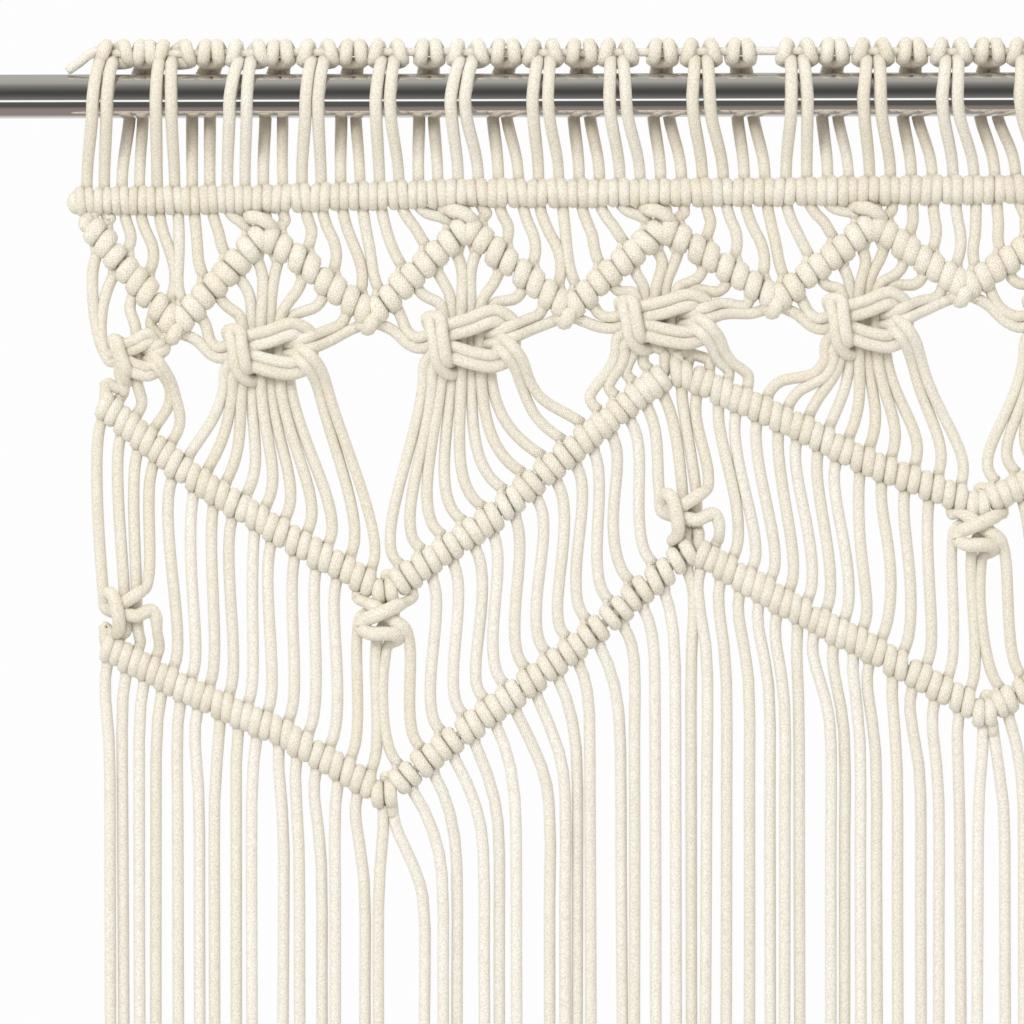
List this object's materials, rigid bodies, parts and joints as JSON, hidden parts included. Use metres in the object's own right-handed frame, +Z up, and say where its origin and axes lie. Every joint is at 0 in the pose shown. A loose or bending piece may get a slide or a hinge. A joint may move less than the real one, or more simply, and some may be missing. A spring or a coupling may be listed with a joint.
{
  "type": "macrame curtain on a rod",
  "caption": "Cotton cord curtain with hitched zigzags, square knots and a long fringe, hanging from a round steel rod with plain ends.",
  "frame": {"origin": "on the rod's axis, at the middle of its length, where the wall brackets left out would carry it", "axes": "+X along the rod, to the right seen from the front; +Z up; +Y towards the wall, so the curtain's face looks along -Y"},
  "size_m": [1, 0.028, 2.0214],
  "materials": {
    "cotton_cord": "natural braided cotton cord, matt",
    "rod_steel": "polished"
  },
  "bodies": {
    "root": {"bar_ball_left": "cotton_cord", "bar_ball_right": "cotton_cord", "header_row": "cotton_cord", "header_tail_left": "cotton_cord", "header_tail_right": "cotton_cord", "hitch_bar": "cotton_cord", "large_knot_01": "cotton_cord", "large_knot_02": "cotton_cord", "large_knot_03": "cotton_cord", "large_knot_04": "cotton_cord", "large_knot_05": "cotton_cord", "large_knot_06": "cotton_cord", "large_knot_07": "cotton_cord", "large_knot_08": "cotton_cord", "large_knot_09": "cotton_cord", "large_knot_10": "cotton_cord", "large_knot_11": "cotton_cord", "large_knot_12": "cotton_cord", "large_knot_13": "cotton_cord", "lower_zigzag_fringe": "cotton_cord", "rod": "rod_steel", "small_knot_1": "cotton_cord", "small_knot_2": "cotton_cord", "small_knot_3": "cotton_cord", "small_knot_4": "cotton_cord", "small_knot_5": "cotton_cord", "small_knot_6": "cotton_cord", "small_knot_7": "cotton_cord", "small_knot_8": "cotton_cord", "small_knot_9": "cotton_cord", "small_zigzag": "cotton_cord", "upper_zigzag": "cotton_cord"}
  },
  "joints": []
}
